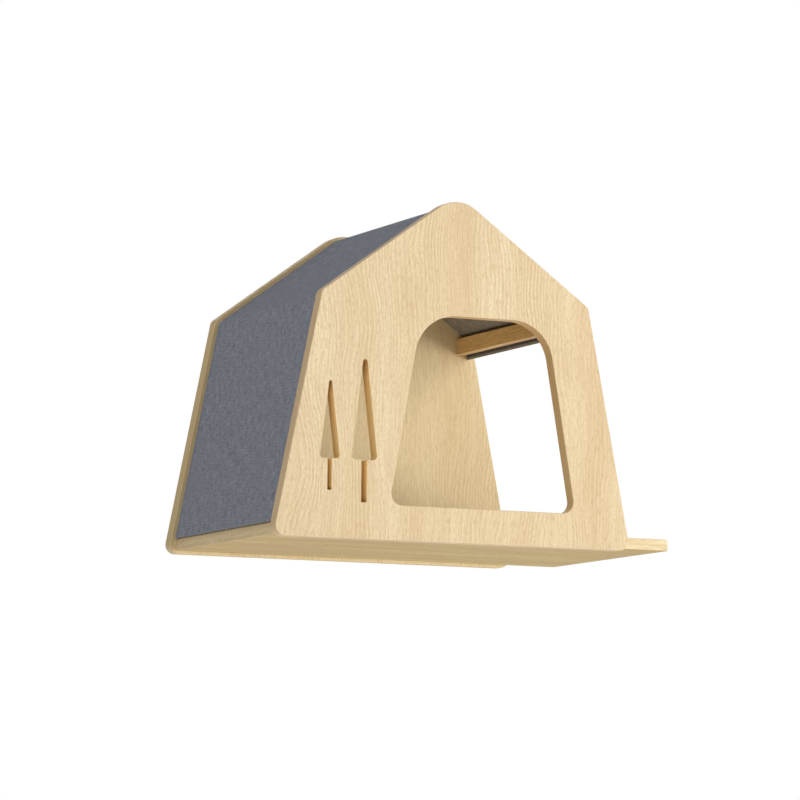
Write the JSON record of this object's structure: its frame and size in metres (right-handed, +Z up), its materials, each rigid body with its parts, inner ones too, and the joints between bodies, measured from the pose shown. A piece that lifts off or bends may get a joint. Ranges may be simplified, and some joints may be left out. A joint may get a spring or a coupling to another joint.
{
  "type": "wall-mounted cat house",
  "caption": "Wall-hung gabled cat house with a doorway, tree cut-outs, an open side, a side step and a lift-off fabric cover.",
  "frame": {"origin": "centre of the four wall screw holes, on the back face that lies against the wall", "axes": "+Y into the wall, +Z up, +X to the right as seen from the room, along the step"},
  "size_m": [0.45, 0.3, 0.35],
  "materials": {
    "panel_wood": "matt lacquered pale wood, upright grain",
    "floor_wood": "matt lacquered pale wood",
    "rail_wood": "bare batten wood, grain along the rail",
    "cover_fabric": "blue-grey woven felt-like cloth",
    "hook_tape": "black hook tape",
    "loop_tape": "black loop tape, stitched",
    "dowel_wood": "fluted beech dowel",
    "screw_steel": "zinc plated"
  },
  "bodies": {
    "house": {"front_panel": "panel_wood", "back_panel": "panel_wood", "floor_board": "floor_wood", "right_eave_rail": "rail_wood", "left_eave_rail": "rail_wood", "ridge_rail": "rail_wood", "left_foot_rail": "rail_wood", "right_hook_tape": "hook_tape", "left_hook_tape": "hook_tape", "floor_dowels": "dowel_wood", "rail_dowels": "dowel_wood", "floor_screws": "screw_steel", "rail_screws": "screw_steel"},
    "cover": {"roof_cover": "cover_fabric", "right_loop_tape": "loop_tape", "left_loop_tape": "loop_tape"}
  },
  "joints": [
    {"name": "cover_lift", "type": "slide", "parent": "house", "child": "cover", "axis": [0, 0, 1], "range_m": [0, 0.35]}
  ]
}
